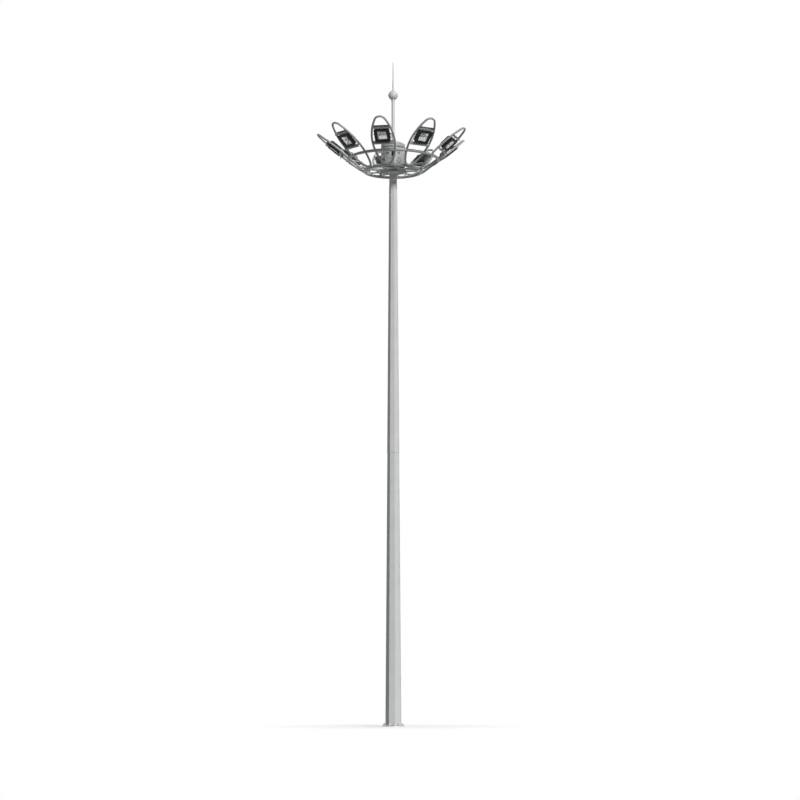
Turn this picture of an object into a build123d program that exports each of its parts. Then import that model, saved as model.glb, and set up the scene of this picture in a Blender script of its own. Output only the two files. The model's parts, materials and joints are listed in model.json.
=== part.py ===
"""High mast floodlight tower: a tapered octagonal mast with a crown of nine petal frames.

Millimetres, +Z up. The origin is the centre of the base flange's underside. Flats of the
octagonal mast face +-X and +-Y, and petal 1 points towards -Y.
"""
import os
from math import atan, cos, degrees, radians, sin, sqrt, tan

from build123d import *

# Fits
fit_gap = 0.3
pivot_clearance = 0.05
pivot_side_gap = 0.5

# Base flange
flange_thickness = 30
flange_bore_diameter = 250
flange_edge = 55
flange_chamfer = 3
anchor_beyond_flat = 77.5
anchor_hole_diameter = 36
anchor_count = 12

# Mast: sizes across the octagon's flats
mast_base_flats = 535
mast_top_flats = 280
mast_below_ring = 575
lower_wall = 8
upper_wall = 6
slip_joint_top = 10400
slip_joint_lap = 700
spigot_wall = 8
spigot_depth = 600

# Service door on the rear flat
door_width = 170
door_length = 600
door_thickness = 5
door_overlap = 20
door_corner = 50
door_chamfer = 1.5
door_height = 1000

# Crown: heights are above the lower ring's centre line
lower_ring_height = 20000
lower_ring_radius = 1035
lower_ring_tube = 105
middle_ring_tube = 108
middle_ring_to_bar = 272
middle_ring_hole_clearance = 1.2
petal_count = 9

# Petal frames
petal_length = 2100
petal_side_space = 125
petal_end_radius = 200
petal_tube = 76
petal_rise = 39.5
petal_seat_angle = 15

# Cross bars: channels with their webs towards the floodlight
bar_middle = 260
bar_clearance = 40
bar_width = 60
bar_depth = 135
bar_above = 50
bar_plate = 6

# Floodlights: frame in front, housing behind with straight sides and a tapered back
frame_width = 560
frame_length = 544
frame_thickness = 35
frame_front = 95
frame_corner = 36
frame_edge = 6
window_width = 340
window_length = 360
window_corner = 28
glass_thickness = 6
glass_lap = 14
glass_play = 0.5
housing_inset = 12
housing_side_depth = 130
housing_back_depth = 65
housing_taper = 35
housing_wall = 4
housing_corner = 60
housing_edge = 24
pivot_above = 20
boss_radius = 26
boss_reach_in = 12
shaft_radius = 12
shaft_end = 8
stirrup_plate = 8
stirrup_width = 50
stirrup_side_gap = 20
stirrup_bend = 14
stirrup_past_pivot = 28

# Hub
core_radius = 218
core_below_ring = 35
plate_height = 168
plate_thickness = 12
drum_radius = 440
drum_wall = 5
drum_height = 640
shadow_gap = 30
cap_height = 180
cap_shoulder = 70
hub_front_angle = -82
slot_width = 84
slot_low = 275
slot_height = 220
arch_width = 180
arch_height = 235
cover_angle = 34.5
cover_arc = 42
cover_low = 258
cover_height = 262
cover_thickness = 6

# Loops in the crown's floor: they touch the lower ring and the hub's floor plate
loop_tube = 45
loop_side_gap = 3
floor_plate_thickness = 20

# Lightning rod
rod_pipe_diameter = 116
ball_diameter = 350
ball_centre = 2830
needle_base_diameter = 60
needle_neck_diameter = 26
needle_point = 55
needle_tip = 4105

# Worked out from the values above
anchor_circle_diameter = mast_base_flats + 2 * anchor_beyond_flat
flange_diameter = anchor_circle_diameter + 2 * flange_edge
mast_top_height = lower_ring_height - mast_below_ring
mast_taper = (mast_base_flats + 2 * (upper_wall + fit_gap) - mast_top_flats) / mast_top_height
petal_step = 360 / petal_count
loop_outer_radius = lower_ring_radius - lower_ring_tube / 2 - fit_gap
loop_share = sin(radians(petal_step / 2))
loop_centre_radius = (loop_outer_radius + loop_side_gap / 2) / (1 + loop_share)
loop_radius = loop_outer_radius - loop_centre_radius - loop_tube / 2
floor_plate_radius = loop_centre_radius - loop_radius - loop_tube / 2 - fit_gap
core_bottom = lower_ring_height - core_below_ring
plate_top = lower_ring_height + plate_height + plate_thickness
drum_top = plate_top + drum_height
cap_bottom = drum_top + shadow_gap
cap_top = cap_bottom + cap_height
ball_height = lower_ring_height + ball_centre
seat_distance = (lower_ring_tube + petal_tube) / 2 + fit_gap
petal_width = frame_width + 2 * petal_side_space
petal_root_radius = lower_ring_radius + seat_distance * cos(radians(petal_seat_angle))
petal_root_height = lower_ring_height + seat_distance * sin(radians(petal_seat_angle))
arm_inner = frame_width / 2 + stirrup_side_gap
arm_outer = arm_inner + stirrup_plate
web_distance = frame_length / 2 + bar_clearance


def lower_flats(height):
    """Size across the flats of the lower mast section's outside at a height."""
    return mast_base_flats - mast_taper * height


def upper_flats(height):
    """Size across the flats of the upper mast section, which slips over the lower one."""
    return lower_flats(height) + 2 * (upper_wall + fit_gap)


def along_petal(distance):
    """Radius and height of a point on a petal's middle line, a distance from its root."""
    run = distance * cos(radians(petal_rise))
    climb = distance * sin(radians(petal_rise))
    return petal_root_radius + run, petal_root_height + climb


def petal_plane(distance):
    """Plane of the front petal: x sideways, y towards the tip, z out and down."""
    radius, height = along_petal(distance)
    rise = radians(petal_rise)
    return Plane(origin=(0, -radius, height), x_dir=(1, 0, 0), z_dir=(0, -sin(rise), -cos(rise)))


def side_arc_radius(half_length, half_width, end_radius):
    """Radius of an oval's long side arcs, tangent to its end arcs."""
    gap = half_width - end_radius
    return (half_length**2 + half_width**2 - 2 * half_length * end_radius) / (2 * gap)


def oval_half_width(distance, half_length, half_width, end_radius):
    """Half the width of an oval at a distance along it from its middle."""
    side = side_arc_radius(half_length, half_width, end_radius)
    if abs(distance) > oval_joint(half_length, half_width, end_radius)[1]:
        return sqrt(max(end_radius**2 - (abs(distance) - half_length + end_radius) ** 2, 0))
    return sqrt(side**2 - distance**2) - (side - half_width)


def oval_joint(half_length, half_width, end_radius):
    """Point where an oval's end arc meets its side arc, in its first quarter."""
    side = side_arc_radius(half_length, half_width, end_radius)
    reach = side / (side - end_radius)
    return reach * (side - half_width) - (side - half_width), reach * (half_length - end_radius)


def hoop_half_width(distance):
    """Half the width of a petal's hoop at a distance from its root."""
    return oval_half_width(
        distance - petal_length / 2, petal_length / 2, petal_width / 2, petal_end_radius
    )


def ring_crossing():
    """Distance from a petal's root at which its tubes are at the middle ring's radius."""
    low = 0
    high = petal_length / 2
    for _ in range(40):
        middle = (low + high) / 2
        radius = along_petal(middle)[0]
        if sqrt(radius**2 + hoop_half_width(middle) ** 2) < middle_ring_radius:
            low = middle
        else:
            high = middle
    return low


lower_bar_place = petal_length / 2 + bar_middle - web_distance - bar_width
middle_ring_radius = along_petal(lower_bar_place - middle_ring_to_bar)[0]
middle_ring_height = along_petal(ring_crossing())[1]


def save(part, name):
    """Label one finished piece and write its STEP file."""
    part.label = name
    export_step(part, f"parts/{name}.step")


def octagon_tube(low, high, flats, wall):
    """Tapered octagonal tube between two heights; flats(height) is its outside size."""
    with BuildPart() as tube:
        for inset, mode in ((0, Mode.ADD), (wall, Mode.SUBTRACT)):
            for height in (low, high):
                with BuildSketch(Plane.XY.offset(height)):
                    RegularPolygon(flats(height) / 2 - inset, 8, major_radius=False, rotation=22.5)
            loft(mode=mode)
    return tube.part


def half_oval_tube(plane, half_length, half_width, end_radius, tube):
    """Right half of an oval tube hoop: two quarter end arcs and one side arc."""
    x_joint, y_joint = oval_joint(half_length, half_width, end_radius)
    lean = atan(x_joint / (y_joint - half_length + end_radius)) / 2
    end_x = end_radius * sin(lean)
    end_y = half_length - end_radius + end_radius * cos(lean)
    with BuildPart() as half:
        with BuildLine(plane) as path:
            ThreePointArc((0, -half_length), (end_x, -end_y), (x_joint, -y_joint))
            ThreePointArc((x_joint, -y_joint), (half_width, 0), (x_joint, y_joint))
            ThreePointArc((x_joint, y_joint), (end_x, end_y), (0, half_length))
        with BuildSketch(Plane(origin=path.line @ 0, z_dir=path.line % 0)):
            Circle(tube / 2)
        sweep()
    return half.part


def base_flange():
    """Round plate with a ring of anchor holes and a cable entry in the middle."""
    with BuildPart() as flange:
        with BuildSketch():
            Circle(flange_diameter / 2)
            Circle(flange_bore_diameter / 2, mode=Mode.SUBTRACT)
            with PolarLocations(anchor_circle_diameter / 2, anchor_count, start_angle=180 / anchor_count):
                Circle(anchor_hole_diameter / 2, mode=Mode.SUBTRACT)
        extrude(amount=flange_thickness)
        chamfer(flange.faces().sort_by(Axis.Z)[-1].outer_wire().edges(), flange_chamfer)
    return flange.part


def door_plane():
    """Plane on the lower section's rear flat, at the middle of the service door."""
    lean = atan(mast_taper / 2)
    middle = (0, lower_flats(door_height) / 2, door_height)
    return Plane(origin=middle, x_dir=(-1, 0, 0), z_dir=(0, cos(lean), sin(lean)))


def lower_section():
    with BuildPart() as section:
        add(octagon_tube(flange_thickness, slip_joint_top, lower_flats, lower_wall))
        with BuildSketch(door_plane()):
            RectangleRounded(
                door_width - 2 * door_overlap, door_length - 2 * door_overlap, door_corner - door_overlap
            )
        extrude(amount=-3 * lower_wall, mode=Mode.SUBTRACT)
    return section.part


def service_door():
    with BuildPart() as door:
        with BuildSketch(door_plane().offset(fit_gap)):
            RectangleRounded(door_width, door_length, door_corner)
        extrude(amount=door_thickness)
        chamfer(door.faces().sort_by(Axis.Y)[-1].edges(), door_chamfer)
    return door.part


def upper_section():
    return octagon_tube(slip_joint_top - slip_joint_lap, mast_top_height, upper_flats, upper_wall)


def crown_spigot():
    return octagon_tube(mast_top_height - spigot_depth, core_bottom, lower_flats, spigot_wall)


def ring(radius, tube, height):
    with BuildPart() as torus:
        with Locations((0, 0, height)):
            Torus(radius, tube / 2)
    return torus.part


def petal_tube_drills():
    """Straight bores along the front petal's two tubes where they pass through the middle ring."""
    crossing = ring_crossing()
    sideways = hoop_half_width(crossing)
    slope = hoop_half_width(crossing + 1) - sideways
    rise = radians(petal_rise)
    with BuildPart() as drills:
        for side in (-1, 1):
            origin = (side * sideways, -along_petal(crossing)[0], middle_ring_height)
            with BuildSketch(Plane(origin, z_dir=(side * slope, -cos(rise), sin(rise)))):
                Circle(petal_tube / 2 + middle_ring_hole_clearance)
            extrude(amount=middle_ring_tube, both=True)
    return drills.part


def middle_ring_segment():
    """Front ninth of the middle ring, which the two tubes of the front petal pass through."""
    arc = petal_step - degrees(fit_gap / middle_ring_radius)
    with BuildPart() as segment:
        with BuildSketch(Plane.XZ.rotated((0, 0, -90 - arc / 2))):
            with Locations((middle_ring_radius, middle_ring_height)):
                Circle(middle_ring_tube / 2)
        revolve(axis=Axis.Z, revolution_arc=arc)
        add(petal_tube_drills(), mode=Mode.SUBTRACT)
    return segment.part


def in_a_circle(piece):
    """One copy of a piece at each petal; the copies don't touch."""
    with BuildPart() as copies:
        for number in range(petal_count):
            add(piece, rotation=(0, 0, number * petal_step))
    return copies.part


def cross_bar(plane, half_length):
    """Channel across a petal, its web on the plane's -y side and its flanges behind it."""
    with BuildPart() as bar:
        with BuildSketch(plane.offset(-bar_above)):
            with Locations((0, bar_width / 2)):
                Rectangle(2 * half_length, bar_width)
        extrude(amount=bar_depth)
        with BuildSketch(plane.offset(bar_plate - bar_above)):
            with Locations((0, bar_width / 2 + bar_plate)):
                Rectangle(2 * half_length, bar_width)
        extrude(amount=bar_depth - 2 * bar_plate, mode=Mode.SUBTRACT)
    return bar.part


def petal_frame():
    """Front petal: an oval tube hoop with two cross bars welded into it."""
    middle = petal_length / 2
    oval = (middle, petal_width / 2, petal_end_radius)
    plane = petal_plane(middle)
    with BuildPart() as petal:
        add(half_oval_tube(plane, *oval, petal_tube))
        mirror(about=Plane.YZ)
        for side in (-1, 1):
            web = bar_middle + side * web_distance
            inside = oval_half_width(web + side * bar_width, *oval)
            across = petal_plane(middle + web)
            facing = Plane(across.origin, x_dir=(side, 0, 0), z_dir=across.z_dir)
            add(cross_bar(facing, inside))
    return petal.part


def floodlight_plane():
    """Plane of the front petal's floodlight, centred between the cross bars."""
    return petal_plane(petal_length / 2 + bar_middle)


def front_frame():
    plane = floodlight_plane()
    with BuildPart() as frame:
        with BuildSketch(plane.offset(frame_front - frame_thickness)):
            RectangleRounded(frame_width, frame_length, frame_corner)
            RectangleRounded(window_width, window_length, window_corner, mode=Mode.SUBTRACT)
        extrude(amount=frame_thickness)
        with BuildSketch(plane.offset(frame_front - frame_thickness)):
            RectangleRounded(
                window_width + 2 * glass_lap, window_length + 2 * glass_lap, window_corner + glass_lap
            )
        extrude(amount=glass_thickness, mode=Mode.SUBTRACT)
        normal = Axis(plane.origin, plane.z_dir)
        outer = frame.faces().filter_by(normal).sort_by(normal)[-1]
        chamfer(outer.edges(), frame_edge)
    return frame.part


def glass():
    width = window_width + 2 * (glass_lap - glass_play)
    length = window_length + 2 * (glass_lap - glass_play)
    with BuildPart() as pane:
        with BuildSketch(floodlight_plane().offset(frame_front - frame_thickness)):
            RectangleRounded(width, length, window_corner + glass_lap - glass_play)
        extrude(amount=glass_thickness)
    return pane.part


def body_block(plane, width, length, corner, sides, depth, edge):
    """Block with straight sides and a narrowing back, and rounded edges at the far end."""
    narrowing = 2 * (depth - sides) * tan(radians(housing_taper))
    with BuildPart() as block:
        with BuildSketch(plane):
            RectangleRounded(width, length, corner)
        extrude(amount=sides)
        with BuildSketch(plane.offset(sides)):
            RectangleRounded(width, length, corner)
        with BuildSketch(plane.offset(depth)):
            RectangleRounded(width - narrowing, length - narrowing, corner)
        loft()
        far_face = block.faces().sort_by(Axis(plane.origin, plane.z_dir))[-1]
        fillet(far_face.edges(), edge)
    return block.part


def housing():
    """Shell behind the front frame, with a trunnion on each side."""
    pivot = floodlight_plane().offset(-pivot_above)
    mouth = floodlight_plane().offset(frame_front - frame_thickness)
    back = Plane(mouth.origin, x_dir=mouth.x_dir, z_dir=-mouth.z_dir)
    width = frame_width - 2 * housing_inset
    length = frame_length - 2 * housing_inset
    depth = housing_side_depth + housing_back_depth
    inside = (width - 2 * housing_wall, length - 2 * housing_wall, housing_corner - housing_wall)
    cavity = body_block(
        back, *inside, housing_side_depth, depth - housing_wall, housing_edge - housing_wall
    )
    boss_start = width / 2 - boss_reach_in
    boss_end = arm_inner - pivot_side_gap
    with BuildPart() as shell:
        add(body_block(back, width, length, housing_corner, housing_side_depth, depth, housing_edge))
        add(cavity, mode=Mode.SUBTRACT)
        for side in (-1, 1):
            sideways = Plane(pivot.origin, x_dir=pivot.y_dir, z_dir=pivot.x_dir * side)
            with BuildSketch(sideways.offset(boss_start)):
                Circle(boss_radius)
            extrude(amount=boss_end - boss_start)
            with BuildSketch(sideways.offset(boss_end)):
                Circle(shaft_radius)
            extrude(amount=pivot_side_gap + stirrup_plate + shaft_end)
    return shell.part


def stirrup():
    """U bracket from the lower cross bar's web to the floodlight's two trunnions."""
    plane = floodlight_plane()
    low = fit_gap - web_distance
    high = stirrup_past_pivot
    with BuildPart() as bracket:
        with BuildSketch(plane.offset(-pivot_above - stirrup_width / 2)) as outline:
            with Locations((0, (low + high) / 2)):
                Rectangle(2 * arm_outer, high - low)
            fillet(outline.vertices().group_by(Axis.Y)[0], stirrup_bend + stirrup_plate)
            with BuildSketch(mode=Mode.SUBTRACT) as hollow:
                with Locations((0, (low + high + stirrup_plate) / 2)):
                    Rectangle(2 * arm_inner, high - low - stirrup_plate)
                fillet(hollow.vertices().group_by(Axis.Y)[0], stirrup_bend)
        extrude(amount=stirrup_width)
        pivot = plane.offset(-pivot_above)
        with BuildSketch(Plane(pivot.origin, x_dir=pivot.y_dir, z_dir=pivot.x_dir)):
            Circle(shaft_radius + pivot_clearance)
        extrude(amount=arm_outer + 1, both=True, mode=Mode.SUBTRACT)
    return bracket.part


def hub_core():
    with BuildPart() as core:
        with BuildSketch(Plane.XY.offset(core_bottom)):
            Circle(core_radius)
        extrude(amount=cap_bottom - core_bottom)
    return core.part


def hub_plate(radius, bottom, thickness):
    """Round plate welded round the hub's core."""
    with BuildPart() as plate:
        with BuildSketch(Plane.XY.offset(bottom)):
            Circle(radius)
            Circle(core_radius + fit_gap, mode=Mode.SUBTRACT)
        extrude(amount=thickness)
    return plate.part


def wall_plane(angle, height):
    """Upright plane through the mast's axis whose normal points out at an angle."""
    heading = radians(angle)
    return Plane(
        origin=(0, 0, height), x_dir=(-sin(heading), cos(heading), 0), z_dir=(cos(heading), sin(heading), 0)
    )


def hub_drum():
    """Drum wall with an arched cable outlet below each petal and a seam slot front and rear."""
    with BuildPart() as drum:
        with BuildSketch(Plane.XY.offset(plate_top)):
            Circle(drum_radius)
            Circle(drum_radius - drum_wall, mode=Mode.SUBTRACT)
        extrude(amount=drum_height)
        for number in range(petal_count):
            with BuildSketch(wall_plane(-90 + number * petal_step, plate_top)):
                with Locations((0, (arch_height - arch_width / 2) / 2)):
                    Rectangle(arch_width, arch_height - arch_width / 2)
                with Locations((0, arch_height - arch_width / 2)):
                    Circle(arch_width / 2)
            extrude(amount=drum_radius + 1, mode=Mode.SUBTRACT)
        for angle in (hub_front_angle, hub_front_angle + 180):
            with BuildSketch(wall_plane(angle, plate_top + slot_low + slot_height / 2)):
                Rectangle(slot_width, slot_height)
            extrude(amount=drum_radius + 1, mode=Mode.SUBTRACT)
    return drum.part


def hub_covers():
    """Curved access covers on the drum, two in front and two behind."""
    inner = drum_radius + fit_gap
    with BuildPart() as covers:
        for angle in (hub_front_angle, hub_front_angle + 180):
            for side in (-cover_angle, cover_angle):
                start = radians(angle + side - cover_arc / 2)
                section = Plane(
                    origin=(0, 0, plate_top + cover_low),
                    x_dir=(cos(start), sin(start), 0),
                    z_dir=(sin(start), -cos(start), 0),
                )
                with BuildSketch(section):
                    with Locations((inner + cover_thickness / 2, cover_height / 2)):
                        Rectangle(cover_thickness, cover_height)
                revolve(axis=Axis.Z, revolution_arc=cover_arc)
    return covers.part


def hub_top_cap():
    with BuildPart() as cap:
        with BuildSketch(Plane.XY.offset(cap_bottom)):
            Circle(drum_radius)
        extrude(amount=cap_height)
        fillet(cap.faces().sort_by(Axis.Z)[-1].edges(), cap_shoulder)
    return cap.part


def floor_loops():
    """Round tube loops between the hub's floor plate and the lower ring, one below each petal."""
    with BuildPart() as loops:
        with Locations((0, 0, lower_ring_height)):
            with PolarLocations(loop_centre_radius, petal_count, start_angle=-90):
                Torus(loop_radius, loop_tube / 2)
    return loops.part


def rod_pipe():
    radius = rod_pipe_diameter / 2
    top = ball_height - sqrt((ball_diameter / 2) ** 2 - radius**2)
    with BuildPart() as pipe:
        with BuildSketch(Plane.XY.offset(cap_top)):
            Circle(radius)
        extrude(amount=top - cap_top)
    return pipe.part


def rod_ball():
    """Ball with a flat seat for the pipe below it and for the needle above it."""
    radius = ball_diameter / 2
    with BuildPart() as ball:
        with Locations((0, 0, ball_height)):
            Sphere(radius)
        low_seat = sqrt(radius**2 - (rod_pipe_diameter / 2) ** 2)
        split(bisect_by=Plane.XY.offset(ball_height - low_seat), keep=Keep.TOP)
        split(bisect_by=Plane.XY.offset(needle_base()), keep=Keep.BOTTOM)
    return ball.part


def needle_base():
    """Height of the flat seat on top of the ball."""
    return ball_height + sqrt((ball_diameter / 2) ** 2 - (needle_base_diameter / 2) ** 2)


def rod_needle():
    tip = lower_ring_height + needle_tip
    with BuildPart() as needle:
        with BuildSketch(Plane.XZ):
            with BuildLine():
                Polyline(
                    (0, needle_base()),
                    (needle_base_diameter / 2, needle_base()),
                    (needle_neck_diameter / 2, tip - needle_point),
                    (0, tip),
                    close=True,
                )
            make_face()
        revolve(axis=Axis.Z)
    return needle.part


def around(piece, number):
    """Copy of a piece of the front petal, turned to another petal's place."""
    with BuildPart() as copy:
        add(piece, rotation=(0, 0, number * petal_step))
    return copy.part


def main():
    os.makedirs("parts", exist_ok=True)
    save(base_flange(), "base_flange")
    save(lower_section(), "mast_lower_section")
    save(service_door(), "service_door")
    save(upper_section(), "mast_upper_section")
    save(crown_spigot(), "crown_spigot")
    save(hub_core(), "hub_core")
    save(hub_plate(drum_radius, plate_top - plate_thickness, plate_thickness), "hub_bottom_plate")
    floor_plate_bottom = lower_ring_height - floor_plate_thickness / 2
    save(hub_plate(floor_plate_radius, floor_plate_bottom, floor_plate_thickness), "hub_floor_plate")
    save(hub_drum(), "hub_drum")
    save(hub_covers(), "hub_covers")
    save(hub_top_cap(), "hub_top_cap")
    save(floor_loops(), "floor_loops")
    save(ring(lower_ring_radius, lower_ring_tube, lower_ring_height), "lower_ring")
    save(in_a_circle(middle_ring_segment()), "middle_ring")
    save(rod_pipe(), "lightning_rod_pipe")
    save(rod_ball(), "lightning_rod_ball")
    save(rod_needle(), "lightning_rod_needle")

    petal = petal_frame()
    pieces = {"housing": housing(), "front_frame": front_frame(), "glass": glass()}
    for number in range(petal_count):
        save(around(petal, number), f"petal_frame_{number + 1}")
        for name, piece in pieces.items():
            save(around(piece, number), f"floodlight_{number + 1}_{name}")
    save(in_a_circle(stirrup()), "floodlight_stirrups")


main()
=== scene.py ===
"""Looks of the high mast floodlight tower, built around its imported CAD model, in metres."""
import json
import math

import bmesh
import bpy
from mathutils import Matrix, Quaternion, Vector


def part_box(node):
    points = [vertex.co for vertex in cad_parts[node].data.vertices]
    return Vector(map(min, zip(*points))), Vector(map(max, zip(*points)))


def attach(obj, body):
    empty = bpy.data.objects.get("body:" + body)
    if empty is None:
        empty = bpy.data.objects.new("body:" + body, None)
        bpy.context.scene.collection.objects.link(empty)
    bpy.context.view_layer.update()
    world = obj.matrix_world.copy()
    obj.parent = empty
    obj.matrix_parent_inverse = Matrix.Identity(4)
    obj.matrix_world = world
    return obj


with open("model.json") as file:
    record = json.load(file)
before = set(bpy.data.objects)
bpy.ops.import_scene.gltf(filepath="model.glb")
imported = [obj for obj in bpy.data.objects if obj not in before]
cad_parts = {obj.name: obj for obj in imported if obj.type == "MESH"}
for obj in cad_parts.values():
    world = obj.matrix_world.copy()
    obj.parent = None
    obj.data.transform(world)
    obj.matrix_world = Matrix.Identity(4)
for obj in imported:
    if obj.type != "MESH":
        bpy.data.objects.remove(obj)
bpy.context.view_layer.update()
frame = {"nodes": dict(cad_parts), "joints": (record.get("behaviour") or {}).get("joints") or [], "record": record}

ROOT = "tower"
PETALS = len(frame["joints"])
PETAL_STEP = 2 * math.pi / PETALS
UP = Vector((0, 0, 1))

# Camera: where a person would stand to photograph the whole tower
CAMERA_DISTANCE = 79.8
CAMERA_HEIGHT = 1.6
CAMERA_AZIMUTH = math.radians(10.27)
CAMERA_TILT = math.radians(7.148)
CAMERA_TURN = math.radians(0.174)
CAMERA_ROLL = math.radians(-0.05)
CAMERA_LENS = 100.7


# ---------------------------------------------------------------- materials

def new_material(name):
    """New material, with its node tree and its shader."""
    material = bpy.data.materials.new(name)
    material.use_nodes = True
    tree = material.node_tree
    return material, tree, tree.nodes["Principled BSDF"]


def node(tree, kind, **values):
    """New node with its inputs or properties set."""
    made = tree.nodes.new(kind)
    for key, value in values.items():
        if key in made.inputs:
            made.inputs[key].default_value = value
        else:
            setattr(made, key, value)
    return made


def stretched(tree, scale):
    """Object coordinates, stretched along each axis."""
    place = node(tree, "ShaderNodeTexCoord")
    mapping = node(tree, "ShaderNodeMapping", Scale=scale)
    tree.links.new(place.outputs["Object"], mapping.inputs["Vector"])
    return mapping.outputs["Vector"]


def noise(tree, scale, stretch=(1, 1, 1), detail=4.0):
    """Cloudy 0 to 1 pattern in object coordinates."""
    made = node(tree, "ShaderNodeTexNoise", Scale=scale, Detail=detail, Roughness=0.55)
    tree.links.new(stretched(tree, stretch), made.inputs["Vector"])
    return made.outputs["Fac"]


def ramp(tree, source, low, high):
    """Black below low, white above high."""
    made = node(tree, "ShaderNodeValToRGB")
    made.color_ramp.elements[0].position = low
    made.color_ramp.elements[1].position = high
    made.color_ramp.elements[0].color = (0, 0, 0, 1)
    made.color_ramp.elements[1].color = (1, 1, 1, 1)
    tree.links.new(source, made.inputs["Fac"])
    return made.outputs["Color"]


def mixed(tree, factor, first, second):
    """Colour mix; first and second are colours or sockets, factor a number or a socket."""
    made = node(tree, "ShaderNodeMix", data_type="RGBA")
    for index, value in ((0, factor), (6, first), (7, second)):
        if isinstance(value, bpy.types.NodeSocket):
            tree.links.new(value, made.inputs[index])
        else:
            made.inputs[index].default_value = value
    return made.outputs[2]


def scaled(tree, source, low, high):
    """A 0 to 1 value stretched to a range."""
    made = node(tree, "ShaderNodeMapRange")
    made.inputs["To Min"].default_value = low
    made.inputs["To Max"].default_value = high
    tree.links.new(source, made.inputs["Value"])
    return made.outputs["Result"]


def bump(tree, shader, height, strength, distance):
    """Fine relief from a height pattern; distance in metres."""
    made = node(tree, "ShaderNodeBump", Strength=strength, Distance=distance)
    tree.links.new(height, made.inputs["Height"])
    tree.links.new(made.outputs["Normal"], shader.inputs["Normal"])


def grey(value, tint=(1.0, 1.0, 1.0)):
    """Opaque grey, with a slight tint."""
    return (value * tint[0], value * tint[1], value * tint[2], 1.0)


def painted(name, colour, dirt, rough=0.42, run=0.35, gloss=0.5):
    """Paint over steel: cloudy tone, rain streaks that run down, faint orange peel."""
    material, tree, shader = new_material(name)
    cloud = ramp(tree, noise(tree, 1.7, detail=6.0), 0.35, 0.72)
    streak = ramp(tree, noise(tree, 9.0, stretch=(3.0, 3.0, 0.12), detail=5.0), 0.42, 0.78)
    speck = ramp(tree, noise(tree, 55.0, detail=3.0), 0.60, 0.80)
    tone = mixed(tree, scaled(tree, cloud, 0.0, 0.30), colour, dirt)
    tone = mixed(tree, scaled(tree, streak, 0.0, run), tone, dirt)
    tone = mixed(tree, scaled(tree, speck, 0.0, 0.16), tone, dirt)
    tree.links.new(tone, shader.inputs["Base Color"])
    tree.links.new(scaled(tree, streak, rough, rough + 0.18), shader.inputs["Roughness"])
    shader.inputs["Specular IOR Level"].default_value = gloss
    bump(tree, shader, noise(tree, 260.0, detail=2.0), 0.12, 0.0006)
    return material


def galvanised(name, colour, dirt, rough=0.38, metal=0.75):
    """Zinc coating: spangle cells of slightly different tone and gloss, with dull patches."""
    material, tree, shader = new_material(name)
    cells = node(tree, "ShaderNodeTexVoronoi", Scale=70.0)
    tree.links.new(stretched(tree, (1, 1, 1)), cells.inputs["Vector"])
    spangle = node(tree, "ShaderNodeRGBToBW")
    tree.links.new(cells.outputs["Color"], spangle.inputs["Color"])
    patch = ramp(tree, noise(tree, 2.4, detail=5.0), 0.38, 0.70)
    tone = mixed(tree, scaled(tree, spangle.outputs["Val"], 0.0, 0.28), colour, dirt)
    tone = mixed(tree, scaled(tree, patch, 0.0, 0.35), tone, dirt)
    tree.links.new(tone, shader.inputs["Base Color"])
    dull = scaled(tree, spangle.outputs["Val"], rough, rough + 0.16)
    tree.links.new(dull, shader.inputs["Roughness"])
    shader.inputs["Metallic"].default_value = metal
    bump(tree, shader, spangle.outputs["Val"], 0.06, 0.0004)
    return material


def cast(name, colour, dust, rough=0.5, gloss=0.5):
    """Powder coat on cast aluminium: fine grit with dust on it."""
    material, tree, shader = new_material(name)
    dusty = ramp(tree, noise(tree, 6.0, detail=6.0), 0.48, 0.75)
    tone = mixed(tree, scaled(tree, dusty, 0.0, 0.5), colour, dust)
    tree.links.new(tone, shader.inputs["Base Color"])
    tree.links.new(scaled(tree, dusty, rough, rough + 0.25), shader.inputs["Roughness"])
    shader.inputs["Specular IOR Level"].default_value = gloss
    bump(tree, shader, noise(tree, 420.0, detail=2.0), 0.25, 0.0005)
    return material


def reflector_metal(name):
    """Peened bright aluminium."""
    material, tree, shader = new_material(name)
    cells = node(tree, "ShaderNodeTexVoronoi", Scale=90.0)
    tree.links.new(stretched(tree, (1, 1, 1)), cells.inputs["Vector"])
    tone = mixed(tree, ramp(tree, noise(tree, 14.0), 0.4, 0.8), grey(0.93), grey(0.80))
    tree.links.new(tone, shader.inputs["Base Color"])
    shader.inputs["Metallic"].default_value = 1.0
    shader.inputs["Roughness"].default_value = 0.30
    bump(tree, shader, cells.outputs["Distance"], 0.35, 0.0015)
    return material


def clear_glass(name):
    """Thin pane with faint smears."""
    material, tree, shader = new_material(name)
    smear = ramp(tree, noise(tree, 8.0, detail=5.0), 0.45, 0.8)
    tree.links.new(scaled(tree, smear, 0.02, 0.12), shader.inputs["Roughness"])
    shader.inputs["Base Color"].default_value = (0.80, 0.86, 0.85, 1)
    shader.inputs["Alpha"].default_value = 0.18
    shader.inputs["IOR"].default_value = 1.5
    return material


def plain(name, colour, rough, metal=0.0, spread=0.2, grain=120.0):
    """Small fittings: one tone that drifts a little, with a fine grain."""
    material, tree, shader = new_material(name)
    drift = ramp(tree, noise(tree, 22.0), 0.35, 0.75)
    dark = tuple(c * (1 - spread) for c in colour[:3]) + (1,)
    tree.links.new(mixed(tree, drift, colour, dark), shader.inputs["Base Color"])
    dull = scaled(tree, drift, rough, min(rough + 0.15, 1))
    tree.links.new(dull, shader.inputs["Roughness"])
    shader.inputs["Metallic"].default_value = metal
    bump(tree, shader, noise(tree, grain), 0.1, 0.0004)
    return material


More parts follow.
